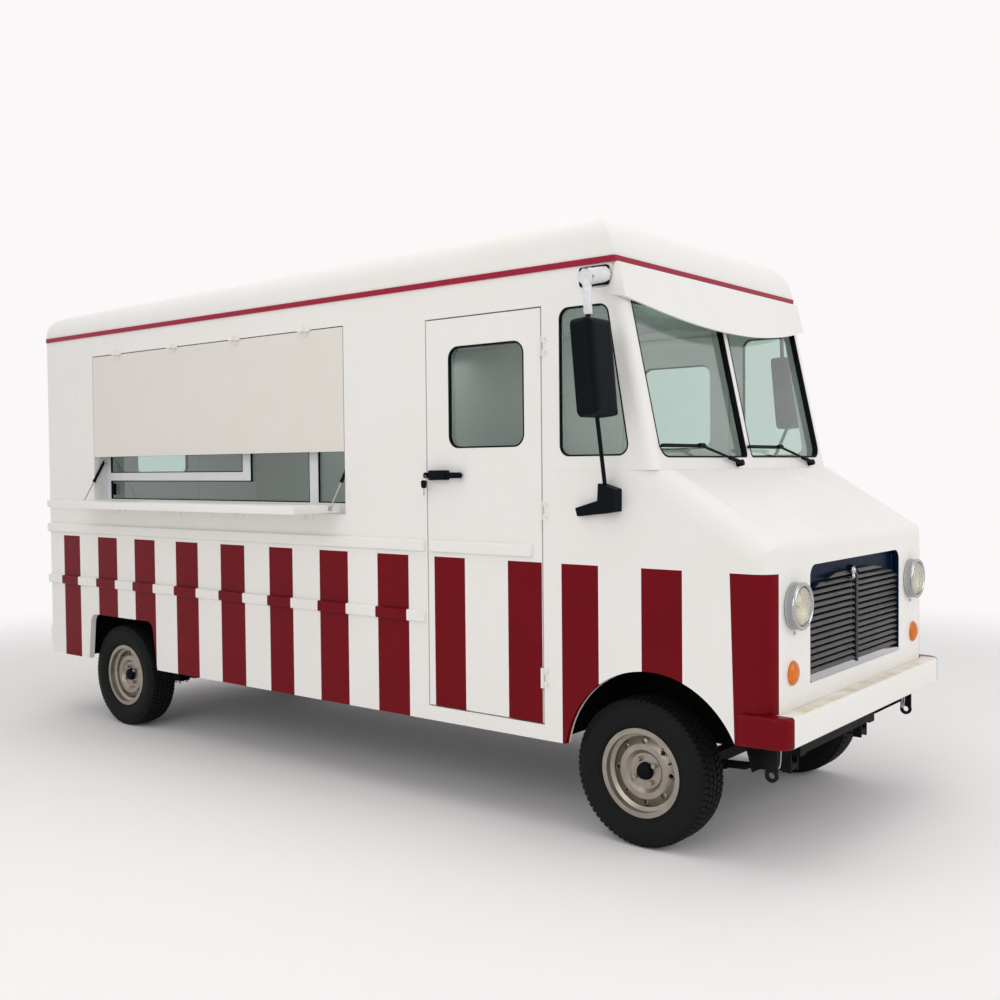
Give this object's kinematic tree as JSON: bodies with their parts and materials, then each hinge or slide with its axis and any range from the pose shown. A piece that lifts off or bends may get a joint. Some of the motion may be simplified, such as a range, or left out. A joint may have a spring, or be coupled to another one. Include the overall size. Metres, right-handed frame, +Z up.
{
  "type": "electric food truck",
  "caption": "Step-van food truck with a sloping nose, split windscreen, lift-up hatch over a fold-down serving shelf, cab doors, rear door and steered front wheels.",
  "frame": {"origin": "on the ground under the middle of the truck's length and width", "axes": "+X forward, +Y to the truck's left, +Z up"},
  "size_m": [5.5, 2.426, 2.7726],
  "materials": {
    "body_white": "gloss",
    "hatch_cream": "satin",
    "band_red": "gloss",
    "window_glass": "clear",
    "black_plastic": "matte",
    "steel_dark": "satin",
    "wheel_silver": "satin",
    "tyre_rubber": "matte",
    "chrome": "polished",
    "window_frame": "satin",
    "grille_back": "satin",
    "lamp_glass": "clear",
    "amber": "gloss",
    "red_lens": "gloss",
    "mirror": "polished",
    "seat_vinyl": "satin",
    "dash_plastic": "matte",
    "counter_steel": "brushed",
    "floor_sheet": "satin",
    "battery_case": "satin"
  },
  "bodies": {
    "body": {"roof": "body_white", "roof_band": "band_red", "nose": "body_white", "screen_frame": "body_white", "windscreen_glass": "window_glass", "quarter_glass": "window_glass", "visor": "body_white", "side_wall_right": "body_white", "side_wall_left": "body_white", "rear_wall": "body_white", "hinge_leaves": "body_white", "floor": "floor_sheet", "wheelhouses": "black_plastic", "dashboard": "dash_plastic", "steering_column": "black_plastic", "seats": "seat_vinyl", "kitchen_counter": "counter_steel", "serving_window": "window_frame", "serving_glass": "window_glass", "front_bumper": "body_white", "rear_bumper": "body_white", "grille": "chrome", "grille_backing": "grille_back", "headlamps": "chrome", "lamp_lenses": "lamp_glass", "indicators": "amber", "tail_lamps": "red_lens", "mirrors": "black_plastic", "mirror_glass": "mirror", "wipers": "black_plastic", "chassis_frame": "steel_dark", "front_axle": "steel_dark", "rear_axle": "steel_dark", "battery_pack": "battery_case"},
    "door_right": {"door_right": "body_white", "door_glass_right": "window_glass", "handle_right": "black_plastic"},
    "door_left": {"door_left": "body_white", "door_glass_left": "window_glass", "handle_left": "black_plastic"},
    "door_rear": {"door_rear": "body_white", "door_glass_rear": "window_glass", "handle_rear": "black_plastic"},
    "hatch": {"hatch": "hatch_cream"},
    "shelf": {"shelf": "body_white"},
    "strut_tube_rear": {"strut_tube_rear": "black_plastic"},
    "strut_tube_front": {"strut_tube_front": "black_plastic"},
    "strut_rod_rear": {"strut_rod_rear": "chrome"},
    "strut_rod_front": {"strut_rod_front": "chrome"},
    "knuckle_right": {"knuckle_right": "steel_dark"},
    "knuckle_left": {"knuckle_left": "steel_dark"},
    "steering_wheel": {"steering_wheel": "black_plastic"},
    "wheel_front_right": {"tyre_front_right": "tyre_rubber", "rim_front_right": "wheel_silver"},
    "wheel_front_left": {"tyre_front_left": "tyre_rubber", "rim_front_left": "wheel_silver"},
    "wheel_rear_right": {"tyre_rear_right": "tyre_rubber", "rim_rear_right": "wheel_silver"},
    "wheel_rear_left": {"tyre_rear_left": "tyre_rubber", "rim_rear_left": "wheel_silver"}
  },
  "joints": [
    {"name": "steer_right", "type": "hinge", "parent": "body", "child": "knuckle_right", "pos_m": [2.025, -0.65, 0.325], "axis": [0, 0, 1], "range_deg": [-28, 28]},
    {"name": "steer_left", "type": "hinge", "parent": "body", "child": "knuckle_left", "pos_m": [2.025, 0.65, 0.325], "axis": [0, 0, 1], "range_deg": [-28, 28]},
    {"name": "steering_wheel_turn", "type": "hinge", "parent": "body", "child": "steering_wheel", "pos_m": [1.695, 0.38, 1.33], "axis": [-0.7431, 0, 0.6691], "range_deg": [-340, 340]},
    {"name": "spin_front_right", "type": "hinge", "parent": "knuckle_right", "child": "wheel_front_right", "pos_m": [2.025, -0.752, 0.325], "axis": [0, 1, 0], "continuous": true},
    {"name": "spin_front_left", "type": "hinge", "parent": "knuckle_left", "child": "wheel_front_left", "pos_m": [2.025, 0.752, 0.325], "axis": [0, 1, 0], "continuous": true},
    {"name": "spin_rear_right", "type": "hinge", "parent": "body", "child": "wheel_rear_right", "pos_m": [-1.895, -0.752, 0.325], "axis": [0, 1, 0], "continuous": true},
    {"name": "spin_rear_left", "type": "hinge", "parent": "body", "child": "wheel_rear_left", "pos_m": [-1.895, 0.752, 0.325], "axis": [0, 1, 0], "continuous": true},
    {"name": "door_right_hinge", "type": "hinge", "parent": "body", "child": "door_right", "pos_m": [1.5585, -0.904, 1.4325], "axis": [0, 0, 1], "range_deg": [0, 85]},
    {"name": "door_left_hinge", "type": "hinge", "parent": "body", "child": "door_left", "pos_m": [1.5585, 0.904, 1.4325], "axis": [0, 0, -1], "range_deg": [0, 85]},
    {"name": "door_rear_hinge", "type": "hinge", "parent": "body", "child": "door_rear", "pos_m": [-2.67, 0.3235, 1.53], "axis": [0, 0, -1], "range_deg": [0, 110]},
    {"name": "hatch_hinge", "type": "hinge", "parent": "body", "child": "hatch", "pos_m": [-0.916, -0.904, 2.401], "axis": [-1, 0, 0], "range_deg": [0, 92]},
    {"name": "shelf_hinge", "type": "hinge", "parent": "body", "child": "shelf", "pos_m": [-0.916, -0.904, 1.419], "axis": [-1, 0, 0], "range_deg": [0, 90]},
    {"name": "strut_rear_swing", "type": "hinge", "parent": "body", "child": "strut_tube_rear", "pos_m": [-2.09, -0.832, 1.715], "axis": [1, 0, 0], "range_deg": [-0.5, 19.9]},
    {"name": "strut_rear_stroke", "type": "slide", "parent": "strut_tube_rear", "child": "strut_rod_rear", "axis": [0, -0.5107, -0.8598], "range_m": [-0.0962, 0.0005]},
    {"name": "strut_front_swing", "type": "hinge", "parent": "body", "child": "strut_tube_front", "pos_m": [0.258, -0.832, 1.715], "axis": [1, 0, 0], "range_deg": [-0.5, 19.9]},
    {"name": "strut_front_stroke", "type": "slide", "parent": "strut_tube_front", "child": "strut_rod_front", "axis": [0, -0.5107, -0.8598], "range_m": [-0.0962, 0.0005]}
  ],
  "couplings": [
    {"joint": "steer_left", "follows": "steer_right", "ratio": 1},
    {"joint": "steering_wheel_turn", "follows": "steer_right", "ratio": 12},
    {"joint": "strut_rear_swing", "follows": "shelf_hinge", "ratio": 0.21555},
    {"joint": "strut_rear_stroke", "follows": "shelf_hinge", "m_per_rad": -0.060624},
    {"joint": "strut_front_swing", "follows": "shelf_hinge", "ratio": 0.21555},
    {"joint": "strut_front_stroke", "follows": "shelf_hinge", "m_per_rad": -0.060624}
  ]
}
